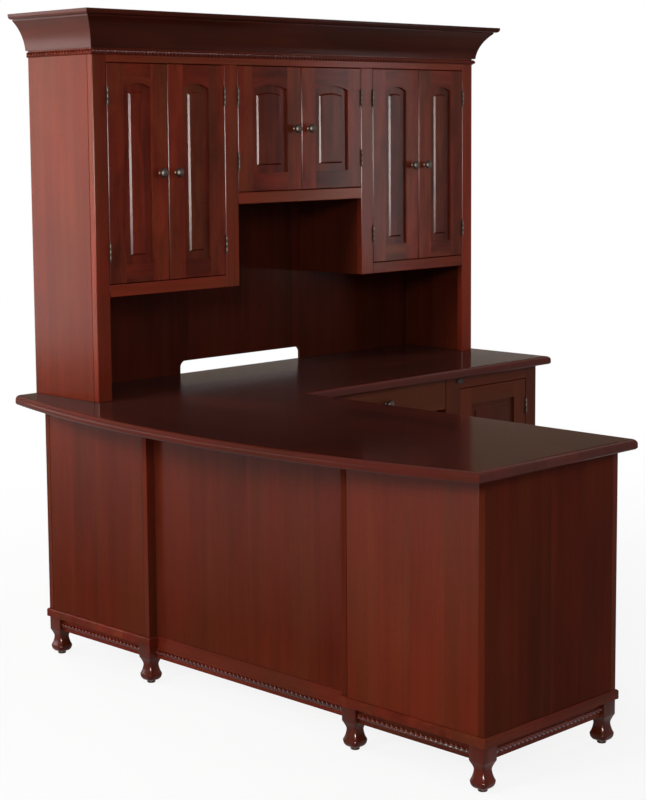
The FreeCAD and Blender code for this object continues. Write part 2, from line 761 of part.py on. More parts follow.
# Butt hinges with tipped barrels: the fixed half carries the pin and the end knuckles, and the door's half turns
# on the pin between them.
def hinge(face_x, edge_y, door_side, z):
    """The fixed half and the door's half of a hinge in the gap at edge_y, with the door toward door_side."""
    axis_x = face_x + hinge_offset
    axis_y = edge_y + door_side * hinge_gap / 2
    low_z = z - hinge_length / 2
    high_z = z + hinge_length / 2
    middle_z = (z - hinge_knuckle / 2, z + hinge_knuckle / 2)
    lower_z = (low_z, middle_z[0] - hinge_end_play)
    upper_z = (middle_z[1] + hinge_end_play, high_z)

    def barrel(*profile):
        return turned(hinge_facet_count, profile).translated(Vector(axis_x, axis_y, 0))

    def plate(x, from_y, limits):
        y = sorted((from_y, from_y + door_side * leaf_thickness))
        return board(x, y, limits)

    leaf_x = (face_x - leaf_depth, face_x)
    tab_x = (face_x, axis_x)
    low_tip = (hinge_tip_radius, low_z - hinge_tip_height)
    high_tip = (hinge_tip_radius, high_z + hinge_tip_height)
    fixed = plate(leaf_x, edge_y, (low_z, high_z)).fuse([
        plate(tab_x, edge_y, lower_z),
        plate(tab_x, edge_y, upper_z),
        barrel(low_tip, (hinge_radius, low_z), (hinge_radius, lower_z[1])),
        barrel((hinge_radius, upper_z[0]), (hinge_radius, high_z), high_tip),
        barrel((hinge_pin_radius, lower_z[1]), (hinge_pin_radius, upper_z[0])),
    ])
    door_edge_y = edge_y + door_side * (hinge_gap - leaf_thickness)
    moving = plate(leaf_x, door_edge_y, (low_z, high_z)).fuse([
        plate(tab_x, door_edge_y, middle_z),
        barrel((hinge_radius, middle_z[0]), (hinge_radius, middle_z[1])),
    ])
    bore_radius = (hinge_pin_radius + hinge_pin_play) / math.cos(math.pi / hinge_facet_count)
    moving = moving.cut(barrel((bore_radius, middle_z[0]), (bore_radius, middle_z[1])))
    return fixed.removeSplitter().Solids, moving.removeSplitter().Solids


def door(node, face_x, opening_y, opening_z, hinge_side, rise):
    """Save an inset door hung at the low (-1) or high (+1) side of its limits, and return the fixed hinges."""
    z = (opening_z[0] + door_gap, opening_z[1] - door_gap)
    hinge_edge = opening_y[0] if hinge_side < 0 else opening_y[1]
    y = (opening_y[0] + hinge_gap, opening_y[1]) if hinge_side < 0 else (opening_y[0], opening_y[1] - hinge_gap)
    members, panel = door_frame_and_panel(face_x, y, z, rise)
    free_edge = y[1] if hinge_side < 0 else y[0]
    knob_place = Vector(face_x, free_edge + hinge_side * knob_inset, (z[0] + z[1]) / 2)
    hardware = [knob().translated(knob_place)]
    fixed_halves = []
    for hinge_z in (z[0] + hinge_inset, z[1] - hinge_inset):
        fixed, moving = hinge(face_x, hinge_edge, -hinge_side, hinge_z)
        fixed_halves += fixed
        hardware += moving
    save(f"{node}_frame", members)
    save(f"{node}_panel", panel)
    save(f"{node}_hardware", hardware)
    return fixed_halves


def doors():
    hinges = []
    pairs = [
        ("left_outer_door", "left_inner_door", left_opening_y, side_rail_z[1]),
        ("centre_left_door", "centre_right_door", centre_opening_y, centre_rail_z[1]),
        ("right_inner_door", "right_outer_door", right_opening_y, side_rail_z[1]),
    ]
    for low_door, high_door, opening_y, sill_z in pairs:
        opening_z = (sill_z, door_top_z)
        middle = (opening_y[0] + opening_y[1]) / 2
        low_y = (opening_y[0], middle - meeting_gap / 2)
        high_y = (middle + meeting_gap / 2, opening_y[1])
        hinges += door(low_door, hutch_face_x, low_y, opening_z, -1, arch_rise)
        hinges += door(high_door, hutch_face_x, high_y, opening_z, 1, arch_rise)
    free_y = (return_door_y[0] + door_gap, return_door_y[1])
    hinges += door("return_door", return_face_x, free_y, return_door_z, 1, 0)
    save("hinge_plates", hinges)


doors()
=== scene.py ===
import json
import math
import random

import bmesh
import bpy
import numpy as np
from mathutils import Matrix, Vector

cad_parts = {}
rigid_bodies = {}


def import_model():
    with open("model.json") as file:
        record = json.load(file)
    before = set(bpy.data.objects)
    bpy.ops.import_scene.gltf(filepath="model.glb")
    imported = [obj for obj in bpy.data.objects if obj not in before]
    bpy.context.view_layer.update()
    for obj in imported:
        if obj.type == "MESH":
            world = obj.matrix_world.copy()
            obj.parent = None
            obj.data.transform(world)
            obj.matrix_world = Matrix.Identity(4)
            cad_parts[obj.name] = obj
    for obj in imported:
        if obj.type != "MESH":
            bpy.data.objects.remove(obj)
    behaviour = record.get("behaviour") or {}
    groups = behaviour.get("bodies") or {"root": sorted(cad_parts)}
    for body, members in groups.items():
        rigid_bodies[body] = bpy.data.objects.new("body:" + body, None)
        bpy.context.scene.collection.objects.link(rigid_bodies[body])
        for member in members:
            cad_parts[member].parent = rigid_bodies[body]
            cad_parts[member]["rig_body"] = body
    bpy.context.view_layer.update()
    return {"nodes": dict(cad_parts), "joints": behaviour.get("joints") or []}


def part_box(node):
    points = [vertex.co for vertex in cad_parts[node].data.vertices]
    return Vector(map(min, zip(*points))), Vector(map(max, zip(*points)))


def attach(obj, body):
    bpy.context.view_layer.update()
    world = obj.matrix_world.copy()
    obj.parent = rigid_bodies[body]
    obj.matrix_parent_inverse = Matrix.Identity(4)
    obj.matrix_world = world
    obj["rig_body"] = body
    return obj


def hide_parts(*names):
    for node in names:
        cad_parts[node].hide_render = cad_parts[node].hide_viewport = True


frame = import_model()


# The base: a lip board under each pedestal, aprons set back between the feet, and one flat board under the
# modesty panel. They are solid cherry under a deep red stain and a satin lacquer, each with its own run of
# grain and every sharp arris eased with sandpaper, glued and screwed up into the boxes from below.
class Tap:
    """An output socket of a node, which can stand in a plain sum."""

    def __init__(self, nodes, socket):
        self.nodes = nodes
        self.socket = socket

    def maths(self, operation, *terms):
        return self.nodes.add("ShaderNodeMath", {"operation": operation}, dict(enumerate(terms)))

    def __add__(self, other):
        return self.maths("ADD", self, other)

    def __sub__(self, other):
        return self.maths("SUBTRACT", self, other)

    def __rsub__(self, other):
        return self.maths("SUBTRACT", other, self)

    def __mul__(self, other):
        return self.maths("MULTIPLY", self, other)

    def __truediv__(self, other):
        return self.maths("DIVIDE", self, other)

    def __rtruediv__(self, other):
        return self.maths("DIVIDE", other, self)

    def __abs__(self):
        return self.maths("ABSOLUTE", self)

    def __floor__(self):
        return self.maths("FLOOR", self)

    __radd__ = __add__
    __rmul__ = __mul__

    def sine(self):
        return self.maths("SINE", self)

    def power(self, exponent):
        return self.maths("POWER", self, exponent)

    def spread(self, low, high):
        """The value's stretch from low to high, drawn out to run from 0 to 1 and held there."""
        return self.nodes.add("ShaderNodeMapRange", {}, {"Value": self, "From Min": low, "From Max": high})


class Nodes:
    """A node tree that is put together one node at a time."""

    def __init__(self, tree):
        self.tree = tree

    def join(self, value, socket):
        if isinstance(value, Tap):
            self.tree.links.new(value.socket, socket)
        else:
            socket.default_value = value

    def add(self, kind, settings=None, sockets=None, out=0):
        node = self.tree.nodes.new(kind)
        for name, value in (settings or {}).items():
            if name == "stops":
                self.stops(node.color_ramp.elements, value)
            else:
                setattr(node, name, value)
        for name, value in (sockets or {}).items():
            self.join(value, node.inputs[name])
        return Tap(self, node.outputs[out])

    def stops(self, elements, wanted):
        while len(elements) < len(wanted):
            elements.new(1.0)
        for element, (position, colour) in zip(elements, wanted):
            element.position = position
            element.color = (*colour, 1.0)


class Finish(Nodes):
    """A material whose varying values are joined to its shader, and whose plain ones are set on it."""

    def __init__(self, name, **plain):
        self.material = bpy.data.materials.new(name)
        self.material.use_nodes = True
        super().__init__(self.material.node_tree)
        self.shader = self.tree.nodes["Principled BSDF"]
        self.give(**plain)

    def give(self, **values):
        for name, value in values.items():
            self.join(value, self.shader.inputs[name.replace("_", " ")])

    def along(self, vector, stretch):
        """A vector drawn out along the grain by unequal scales."""
        return self.add("ShaderNodeVectorMath", {"operation": "MULTIPLY"}, {0: vector, 1: stretch})

    def noise(self, vector, detail=3.0, roughness=0.55, distortion=0.0):
        sockets = {"Vector": vector, "Scale": 1.0, "Detail": detail, "Roughness": roughness}
        sockets["Distortion"] = distortion
        return self.add("ShaderNodeTexNoise", {}, sockets)

    def attribute(self, name, out="Fac"):
        return self.add("ShaderNodeAttribute", {"attribute_name": name}, out=out)

    def mix(self, share, first, second):
        settings = {"data_type": "RGBA"}
        return self.add("ShaderNodeMix", settings, {0: share, 6: first, 7: second}, out=2)


def stained_cherry(name, shine, rough, figured=1.0, dulled=0.0, blotched=0.0):
    """Cherry under stain and lacquer, with a strength for its figure, its brown glaze and its blotches."""
    wood = Finish(name, Specular_IOR_Level=shine)
    stave = math.floor(wood.attribute("stave"))
    shift = wood.add("ShaderNodeTexWhiteNoise", {"noise_dimensions": "1D"}, {"W": stave}, out="Color")
    stave_tone = wood.add("ShaderNodeTexWhiteNoise", {"noise_dimensions": "1D"}, {"W": stave + 0.5})
    moved = wood.along(shift, (3.0, 3.0, 3.0))
    grain = wood.add(
        "ShaderNodeVectorMath", {"operation": "ADD"}, {0: wood.attribute("grain", "Vector"), 1: moved}
    )
    bands = wood.noise(wood.along(grain, (0.8, 21.0, 21.0)), 3.0, 0.5, 0.5)
    figure = wood.noise(wood.along(grain, (2.4, 70.0, 70.0)), 3.0, 0.5, 0.9)
    fibres = wood.noise(wood.along(grain, (9.0, 420.0, 420.0)), 3.0, 0.6)
    pores = wood.noise(wood.along(grain, (60.0, 1300.0, 1300.0)), 1.0).spread(0.6, 0.74)
    cloud = wood.noise(wood.along(grain, (2.4, 6.0, 6.0)), 2.0)
    blotch = wood.noise(wood.along(grain, (7.0, 22.0, 22.0)), 2.0, 0.5, 0.6)
    brown = wood.noise(wood.along(grain, (1.7, 9.0, 9.0)), 2.0, 0.5, 0.3).spread(0.42, 0.66)
    tone = wood.attribute("tone") + (stave_tone - 0.5) * 0.08
    depth = (bands - 0.5) * (0.46 * figured) + (figure - 0.5) * (0.18 * figured) + (fibres - 0.5) * 0.14
    depth = depth + (cloud - 0.5) * (0.5 * figured) + (blotch - 0.5) * (0.6 * blotched) + tone
    stain_and_shade = [
        (0.12, (0.030, 0.0045, 0.0026)),
        (0.38, (0.084, 0.0102, 0.0050)),
        (0.58, (0.138, 0.0165, 0.0074)),
        (0.86, (0.220, 0.0290, 0.0115)),
    ]
    red = wood.add("ShaderNodeValToRGB", {"stops": stain_and_shade}, {"Fac": depth})
    glaze = [
        (0.12, (0.022, 0.0058, 0.0026)),
        (0.58, (0.100, 0.0240, 0.0088)),
        (0.86, (0.160, 0.0420, 0.0160)),
    ]
    dull = wood.add("ShaderNodeValToRGB", {"stops": glaze}, {"Fac": depth})
    colour = wood.mix(brown * (0.75 * figured) + dulled, red, dull)
    pore_colour = (0.020, 0.0035, 0.0022, 1.0)
    filled = wood.mix(pores * 0.35, colour, pore_colour)
    bump = wood.add(
        "ShaderNodeBump", {}, {"Strength": 0.06, "Distance": 0.0004, "Height": fibres * 0.6 - pores * 0.5}
    )
    wood.give(Base_Color=filled, Roughness=rough + (fibres - 0.5) * 0.06 + pores * 0.06, Normal=bump)
    return wood


def boards_of(mesh):
    """A node's points, and its triangles board by board: a board is whole once each edge has met its twin."""
    flat = np.empty(len(mesh.vertices) * 3)
    mesh.vertices.foreach_get("co", flat)
    points, names = np.unique(np.round(flat.reshape(-1, 3), 5), axis=0, return_inverse=True)
    names = names.reshape(-1)
    boards = []
    current = []
    open_edges = set()
    for polygon in mesh.polygons:
        corners = [int(names[corner]) for corner in polygon.vertices]
        if len(set(corners)) < 3:
            continue
        current.append(corners)
        for start, end in zip(corners, corners[1:] + corners[:1]):
            open_edges ^= {(min(start, end), max(start, end))}
        if not open_edges:
            boards.append(current)
            current = []
    return points, boards + ([current] if current else [])


def board_boxes(node):
    """The lowest and the highest corner of each board in a node."""
    points, boards = boards_of(frame["nodes"][node].data)
    boxes = []
    for triangles in boards:
        part = points[sorted({corner for triangle in triangles for corner in triangle})]
        boxes.append((part.min(0), part.max(0)))
    return boxes


def eased(points, triangles, arris, cuts, framed):
    """One board as a mesh with clean flat faces, and its sharp edges taken off in flat cuts. In framed work
    only the edges on the outline of the whole frame are taken off, and its joints stay flush."""
    flat = math.radians(0.3)
    sharp_turn = math.radians(32)
    touching = 1e-5
    shape = bmesh.new()
    corners = {}
    for name in sorted({corner for triangle in triangles for corner in triangle}):
        corners[name] = shape.verts.new(points[name])
    for triangle in triangles:
        shape.faces.new([corners[name] for name in triangle])
    bmesh.ops.dissolve_limit(shape, angle_limit=flat, verts=shape.verts[:], edges=shape.edges[:])
    sharp = [edge for edge in shape.edges if edge.is_manifold and edge.calc_face_angle() > sharp_turn]
    if framed:
        low, high = points.min(0), points.max(0)
        middles = [np.array((edge.verts[0].co + edge.verts[1].co) / 2) for edge in sharp]
        sides = [
            ((abs(middle - low) < touching) | (abs(middle - high) < touching)).sum() for middle in middles
        ]
        sharp = [edge for edge, count in zip(sharp, sides) if count > 1]
    bmesh.ops.bevel(
        shape, geom=sharp, offset=arris, segments=cuts, profile=0.5, affect="EDGES", clamp_overlap=True
    )
    shape.verts.index_update()
    made = [vert.co.copy() for vert in shape.verts]
    faces = [[vert.index for vert in face.verts] for face in shape.faces]
    shape.free()
    return made, faces


def lay_grain(mesh, members, along=None, stain_and_shade=(0.5,)):
    """Gives each member its grain, staves and depth of colour, which is stain and at some places painted
    light and shade.
    Grain runs the long way unless along says.
    """
    stave_width = 0.115
    tone_play = 0.05
    stave_margin = 0.01
    flat = np.empty(len(mesh.vertices) * 3)
    mesh.vertices.foreach_get("co", flat)
    points = flat.reshape(-1, 3)
    grain = np.zeros_like(points)
    tone = np.zeros(len(points))
    stave = np.zeros(len(points))
    for number, (first, last) in enumerate(members):
        part = points[first:last]
        size = part.max(0) - part.min(0)
        order = [int(axis) for axis in np.argsort(-size)]
        if along:
            order.sort(key=lambda axis: "XYZ"[axis] != along)
        offset = [draw.uniform(0, 4) for axis in order]
        grain[first:last] = part[:, order] + offset
        tone[first:last] = stain_and_shade[number % len(stain_and_shade)] + draw.uniform(-tone_play, tone_play)
        width = size[order[1]]
        count = max(1, round(width / stave_width))
        across = (part[:, order[1]] - part[:, order[1]].min()) / max(width, 1e-6)
        stave[first:last] = draw.randint(0, 500) + stave_margin + across * (count - 2 * stave_margin)
    mesh.attributes.new("grain", "FLOAT_VECTOR", "POINT").data.foreach_set("vector", grain.ravel())
    mesh.attributes.new("tone", "FLOAT", "POINT").data.foreach_set("value", tone)
    mesh.attributes.new("stave", "FLOAT", "POINT").data.foreach_set("value", stave)


def shown(name, mesh, finish, body, slot, *nodes):
    """Puts a finished mesh in the scene as a piece that rides on a body and stands for CAD nodes."""
    mesh.materials.clear()
    mesh.materials.append(finish)
    piece = bpy.data.objects.new(name, mesh)
    bpy.context.scene.collection.objects.link(piece)
    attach(piece, body)
    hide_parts(*nodes)
    return piece


def soft_shaded(mesh):
    """Smooth shading in which the broad faces stay flat and only the rounded edges turn the light."""
    hard_turn = math.radians(44)
    mesh.polygons.foreach_set("use_smooth", [True] * len(mesh.polygons))
    holder = bpy.data.objects.new("holder", mesh)
    bpy.context.scene.collection.objects.link(holder)
    holder.modifiers.new("weights", "WEIGHTED_NORMAL").keep_sharp = True
    mesh.set_sharp_from_angle(angle=hard_turn)
    graph = bpy.context.evaluated_depsgraph_get()
    finished = bpy.data.meshes.new_from_object(holder.evaluated_get(graph))
    bpy.data.objects.remove(holder)
    return finished


def joinery(node, arris=0.0009, along=None, finish=None, slot="cherry", stain_and_shade=(0.5,), cuts=2, framed=False):
    """A node's boards with eased edges, in wood, riding where the node rides."""
    source = frame["nodes"][node]
    points, boards = boards_of(source.data)
    made = []
    faces = []
    members = []
    for triangles in boards:
        board_points, board_faces = eased(points, triangles, arris, cuts, framed)
        first = len(made)
        faces += [[first + corner for corner in face] for face in board_faces]
        made += board_points
        members.append((first, len(made)))
    mesh = bpy.data.meshes.new(node + ".wood")
    mesh.from_pydata(made, [], faces)
    lay_grain(mesh, members, along, stain_and_shade)
    shown(node + ".wood", soft_shaded(mesh), finish or cherry, source["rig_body"], slot, node)


draw = random.Random(7)
cherry = stained_cherry("stained_cherry", 0.03, 0.16).material
joinery("base_lips", arris=0.0007, stain_and_shade=(0.60,))
joinery("base_aprons", arris=0.0007, stain_and_shade=(0.55,))


# Carved ogee feet of solid cherry: a square block, a hollow neck and a bulb whose corners are carved round.
# One foot is lofted from rounded squares and set out on all the places, dowelled up into the base.
def through_tree(tree, carrier, **inputs):
    """Runs a geometry tree over a carrier mesh and gives back a plain mesh."""
    holder = bpy.data.objects.new("holder", carrier)
    bpy.context.scene.collection.objects.link(holder)
    modifier = holder.modifiers.new("tree", "NODES")
    modifier.node_group = tree
    for item in tree.interface.items_tree:
        if item.in_out == "INPUT" and item.name in inputs:
            modifier[item.identifier] = inputs[item.name]
    graph = bpy.context.evaluated_depsgraph_get()
    made = bpy.data.meshes.new_from_object(holder.evaluated_get(graph))
    holder.modifiers.remove(modifier)
    bpy.data.objects.remove(holder)
    return made


def new_tree(name, *inputs):
    """An empty geometry tree with named inputs, and the taps of those inputs."""
    tree = bpy.data.node_groups.new(name, "GeometryNodeTree")
    tree.interface.new_socket("Geometry", in_out="INPUT", socket_type="NodeSocketGeometry")
    for label, kind in inputs:
        tree.interface.new_socket(label, in_out="INPUT", socket_type="NodeSocket" + kind)
    tree.interface.new_socket("Geometry", in_out="OUTPUT", socket_type="NodeSocketGeometry")
    nodes = Nodes(tree)
    entry = tree.nodes.new("NodeGroupInput")
    taps = [Tap(nodes, entry.outputs[label]) for label in ("Geometry", *(label for label, kind in inputs))]
    return nodes, taps


def close_tree(nodes, geometry, finish):
    real = nodes.add("GeometryNodeRealizeInstances", {}, {"Geometry": geometry})
    painted = nodes.add("GeometryNodeSetMaterial", {}, {"Geometry": real, "Material": finish})
    leave = nodes.tree.nodes.new("NodeGroupOutput")
    nodes.join(painted, leave.inputs[0])
    return nodes.tree


def setting_out_tree():
    """Sets one piece out on every point of the carrier, turned as the point's own turn says."""
    nodes, taps = new_tree("setting_out", ("Piece", "Object"), ("Finish", "Material"))
    places, piece, finish = taps
    info = nodes.add("GeometryNodeObjectInfo", {}, {"Object": piece}, out="Geometry")
    turn = nodes.add("GeometryNodeInputNamedAttribute", {"data_type": "FLOAT_VECTOR"}, {"Name": "turn"})
    rotation = nodes.add("FunctionNodeEulerToRotation", {}, {"Euler": turn})
    sockets = {"Points": places, "Instance": info, "Rotation": rotation}
    return close_tree(nodes, nodes.add("GeometryNodeInstanceOnPoints", {}, sockets), finish)


def set_out(mesh, places, finish, turns=None):
    """Copies of a mesh on all places, as one mesh."""
    pattern = bpy.data.objects.new("pattern", mesh)
    bpy.context.scene.collection.objects.link(pattern)
    carrier = bpy.data.meshes.new("places")
    carrier.from_pydata([Vector(place) for place in places], [], [])
    turn = carrier.attributes.new("turn", "FLOAT_VECTOR", "POINT")
    turn.data.foreach_set("vector", np.array(turns or [(0, 0, 0)] * len(places), float).ravel())
    made = through_tree(setting_out, carrier, Piece=pattern, Finish=finish)
    bpy.data.objects.remove(pattern)
    return made


def lofted(rings):
    """A closed mesh over rings of points that all have the same count, with flat ends."""
    count = len(rings[0])
    points = [point for ring in rings for point in ring]
    faces = [list(range(count))[::-1]]
    for level in range(len(rings) - 1):
        low = level * count
        for step in range(count):
            following = (step + 1) % count
            faces.append([low + step, low + following, low + count + following, low + count + step])
    faces.append([len(points) - count + step for step in range(count)])
    mesh = bpy.data.meshes.new("lofted")
    mesh.from_pydata(points, [], faces)
    mesh.polygons.foreach_set("use_smooth", [True] * len(faces))
    return mesh


def eased_between(stations, level):
    """A value that flows smoothly through (level, value) stations."""
    levels = [station[0] for station in stations]
    place = max(0, min(len(levels) - 2, int(np.searchsorted(levels, level, side="right")) - 1))
    (low, low_value), (high, high_value) = stations[place], stations[place + 1]
    share = max(0.0, min(1.0, (level - low) / (high - low)))
    share = share * share * (3 - 2 * share)
    return low_value + (high_value - low_value) * share


def foot_mesh():
    toe, belly, neck, block, top = 0.008, 0.026, 0.052, 0.073, 0.111
    toe_half, belly_half, neck_half, block_half = 0.0138, 0.0247, 0.0170, 0.0230
    corner_radii = [(toe, 0.0110), (belly, 0.0120), (neck, 0.0075), (block, 0.0014), (top, 0.0010)]
    belly_curve, neck_curve = 2.1, 1.6
    corner_steps = 7
    carved_steps = 46
    levels = np.concatenate([np.linspace(toe, block, carved_steps), [top]])
    rings = []
    for level in levels:
        if level < belly:
            drop = (belly - level) / (belly - toe)
            half = toe_half + (belly_half - toe_half) * math.sqrt(max(0.0, 1 - drop ** belly_curve))
        elif level < neck:
            half = neck_half + (belly_half - neck_half) * ((neck - level) / (neck - belly)) ** neck_curve
        else:
            rise = min(1.0, (level - neck) / (block - neck))
            half = neck_half + (block_half - neck_half) * rise ** neck_curve
        corner = eased_between(corner_radii, level)
        ring = []
        for quarter in range(4):
            middle = math.radians(45 + 90 * quarter)
            centre = Vector((math.copysign(half - corner, math.cos(middle)), 0, 0))
            centre.y = math.copysign(half - corner, math.sin(middle))
            for step in range(corner_steps):
                turn = math.radians(90 * quarter + 90 * step / (corner_steps - 1))
                ring.append(centre + Vector((corner * math.cos(turn), corner * math.sin(turn), level)))
        rings.append(ring)
    return lofted(rings)


def middles_of(node):
    """The middle of the footprint of each board in a node, on the floor."""
    middles = [(low + high) / 2 for low, high in board_boxes(node)]
    return [(middle[0], middle[1], 0.0) for middle in middles]


setting_out = setting_out_tree()
carved_cherry = stained_cherry("carved_cherry", 0.08, 0.18).material
one_foot = foot_mesh()
foot_places = middles_of("feet")
feet = set_out(one_foot, foot_places, carved_cherry)
foot_points = len(one_foot.vertices)
foot_spans = [(foot_points * step, foot_points * (step + 1)) for step in range(len(foot_places))]
lay_grain(feet, foot_spans, "Z", (0.46,))
crease = math.radians(50)
feet.set_sharp_from_angle(angle=crease)
shown("feet.carved", feet, carved_cherry, "desk", "cherry", "feet")


# A round glide of brown moulded nylon is pinned under the middle of each foot. Its lower edge is rolled, and
# its colour is speckled and scuffed.
def turned(profile, sides):
    """A mesh turned about Z from (radius, height) pairs, lowest first."""
    rings = []
    for radius, height in profile:
        turns = [2 * math.pi * step / sides for step in range(sides)]
        rings.append([Vector((radius * math.cos(turn), radius * math.sin(turn), height)) for turn in turns])
    return lofted(rings)


def moulded_nylon():
    nylon = Finish("moulded_nylon", Specular_IOR_Level=0.1)
    place = nylon.add("ShaderNodeTexCoord", out="Object")
    speckle = nylon.noise(nylon.along(place, (900.0, 900.0, 900.0)), 2.0)
    scuff = nylon.noise(nylon.along(place, (60.0, 60.0, 300.0)), 3.0)
    stops = [(0.25, (0.030, 0.012, 0.006)), (0.75, (0.075, 0.030, 0.014))]
    colour = nylon.add("ShaderNodeValToRGB", {"stops": stops}, {"Fac": speckle * 0.4 + scuff * 0.6})
    bump = nylon.add("ShaderNodeBump", {}, {"Strength": 0.2, "Distance": 0.0003, "Height": speckle})
    nylon.give(Base_Color=colour, Roughness=0.45 + (scuff - 0.5) * 0.3, Normal=bump)
    return nylon.material


glide_profile = [
    (0.0095, 0.0), (0.0108, 0.0006), (0.0115, 0.0018), (0.0115, 0.0058), (0.0110, 0.0066), (0.0110, 0.0080),
]
nylon_finish = moulded_nylon()
glide_sides = 32
glides = set_out(turned(glide_profile, glide_sides), foot_places, nylon_finish)
glides.set_sharp_from_angle(angle=crease)
shown("foot_glides.nylon", glides, nylon_finish, "desk", "glide", "foot_glides")


# Rope moulding runs along the aprons: a half-round cherry strip cut with a twist of two strands, glued on its
# flat back. The twist is swept along each run and then sawn flat where it meets the apron.
def rope_tree():
    nodes, taps = new_tree(
        "rope_moulding", ("Start", "Vector"), ("End", "Vector"), ("Radius", "Float"), ("Pitch", "Float"),
        ("Groove", "Float"), ("Spacing", "Float"), ("Finish", "Material"),
    )
    carrier, start, end, radius, pitch, groove, spacing, finish = taps
    run = nodes.add("GeometryNodeCurvePrimitiveLine", {}, {"Start": start, "End": end})
    run = nodes.add("GeometryNodeResampleCurve", {"mode": "LENGTH"}, {"Curve": run, "Length": spacing})
    distance = nodes.add("GeometryNodeSplineParameter", out="Length")
    twist = distance * (2 * math.pi) / pitch
    run = nodes.add("GeometryNodeSetCurveTilt", {}, {"Curve": run, "Tilt": twist})
    section_points = 32
    strand_fullness = 0.75
    section = nodes.add("GeometryNodeCurvePrimitiveCircle", {}, {"Resolution": section_points, "Radius": 1.0})
    round_it = nodes.add("GeometryNodeSplineParameter", out="Factor")
    lobes = abs((round_it * (2 * math.pi)).sine()).power(strand_fullness)
    swell = radius * (1 - groove + groove * lobes)
    place = nodes.add("GeometryNodeInputPosition")
    lobed = nodes.add("ShaderNodeVectorMath", {"operation": "SCALE"}, {0: place, "Scale": swell})
    section = nodes.add("GeometryNodeSetPosition", {}, {"Geometry": section, "Position": lobed})
    sockets = {"Curve": run, "Profile Curve": section, "Fill Caps": True}
    return close_tree(nodes, nodes.add("GeometryNodeCurveToMesh", {}, sockets), finish)


def sawn(mesh, *cuts):
    """A mesh cut by planes, given as a point and the side that is taken off, with the cuts closed."""
    weld = 1e-6
    shape = bmesh.new()
    shape.from_mesh(mesh)
    bmesh.ops.remove_doubles(shape, verts=shape.verts[:], dist=weld)
    for point, away in cuts:
        everything = shape.verts[:] + shape.edges[:] + shape.faces[:]
        bmesh.ops.bisect_plane(
            shape, geom=everything, dist=weld, plane_co=point, plane_no=away, clear_outer=True
        )
        open_edges = [edge for edge in shape.edges if edge.is_boundary]
        bmesh.ops.holes_fill(shape, edges=open_edges, sides=0)
    bmesh.ops.recalc_face_normals(shape, faces=shape.faces[:])
    for face in shape.faces:
        face.smooth = True
    shape.to_mesh(mesh)
    shape.free()
    return mesh


def joined(meshes, name):
    """Several meshes as one, with the span of points that each had."""
    points = []
    faces = []
    spans = []
    for mesh in meshes:
        first = len(points)
        points += [vert.co.copy() for vert in mesh.vertices]
        faces += [[first + corner for corner in polygon.vertices] for polygon in mesh.polygons]
        spans.append((first, len(points)))
    made = bpy.data.meshes.new(name)
    made.from_pydata(points, [], faces)
    made.polygons.foreach_set("use_smooth", [True] * len(faces))
    return made, spans


def rope_run(start, end, radius, pitch, cuts):
    """One run of rope along a line, sawn by the cuts."""
    groove_depth = 0.55
    ring_spacing = 0.0016
    carrier = bpy.data.meshes.new("carrier")
    made = through_tree(
        rope, carrier, Start=start, End=end, Radius=radius, Pitch=pitch, Groove=groove_depth,
        Spacing=ring_spacing, Finish=rope_cherry,
    )
    return sawn(made, *cuts)


def base_ropes():
    pitch = 0.0312
    runs = []
    for lowest, highest in board_boxes("base_rope_moulding"):
        low, high = Vector(lowest), Vector(highest)
        middle = (low + high) / 2
        radius = (high.z - low.z) / 2
        if high.x - low.x > high.y - low.y:
            start, end = Vector((low.x, high.y, middle.z)), Vector((high.x, high.y, middle.z))
            back = (start, Vector((0, 1, 0)))
        else:
            start, end = Vector((low.x, low.y, middle.z)), Vector((low.x, high.y, middle.z))
            back = (start, Vector((-1, 0, 0)))
        runs.append(rope_run(start, end, radius, pitch, [back]))
    return joined(runs, "base_rope")


rope_cherry = stained_cherry("rope_cherry", 0.28, 0.14).material
rope = rope_tree()
base_rope, base_rope_spans = base_ropes()
lay_grain(base_rope, base_rope_spans, stain_and_shade=(0.46,))
strand_crease = math.radians(60)
base_rope.set_sharp_from_angle(angle=strand_crease)
shown("base_rope_moulding.twist", base_rope, rope_cherry, "desk", "cherry", "base_rope_moulding")


# The pedestals: side panels whose front edges show, front panels let in between them with a fine groove at
# each joint, and a modesty panel set back between the two. All are upright-grained cherry glued up from
# staves, and the polish on the fronts is fuller towards the top.
panel_cherry = stained_cherry("panel_cherry", 0.03, 0.17, 0.5, 0.3).material
side_cherry = stained_cherry("side_cherry", 0.008, 0.17, 0.5, 0.25).material
front_cherry = stained_cherry("front_cherry", 0.008, 0.17, 0.5, 0.25)
front_place = front_cherry.add("ShaderNodeTexCoord", out="Object")
front_height = front_cherry.add("ShaderNodeSeparateXYZ", {}, {"Vector": front_place}, out="Z")
front_cherry.give(Coat_Weight=front_height.spread(0.22, 0.72) * 0.3, Coat_Roughness=0.2)
# The two front panels are coloured far apart, 0.63 and 0.40: painted light on the one and painted shade on
# the other.
joinery("pedestal_front_panels", along="Z", finish=front_cherry.material, stain_and_shade=(0.63, 0.40))
joinery("drawer_pedestal_sides", along="Z", finish=side_cherry, stain_and_shade=(0.46,))
joinery("corner_pedestal_panels", along="Z", finish=panel_cherry)
joinery("modesty_panel", along="Z", finish=front_cherry.material, stain_and_shade=(0.42,))
joinery("drawer_pedestal_frame")


# The return: a back panel, uprights, and a face frame of stiles and rails, all of cherry, dowelled and glued.
# The frame has a browner glaze over its stain than the desk has.
joinery("return_back", along="Z", finish=panel_cherry)
joinery("return_uprights", along="Z", finish=panel_cherry)
return_cherry = stained_cherry("return_cherry", 0.03, 0.20, 0.5, 0.7).material
joinery("return_face_frame", finish=return_cherry, stain_and_shade=(0.46,))


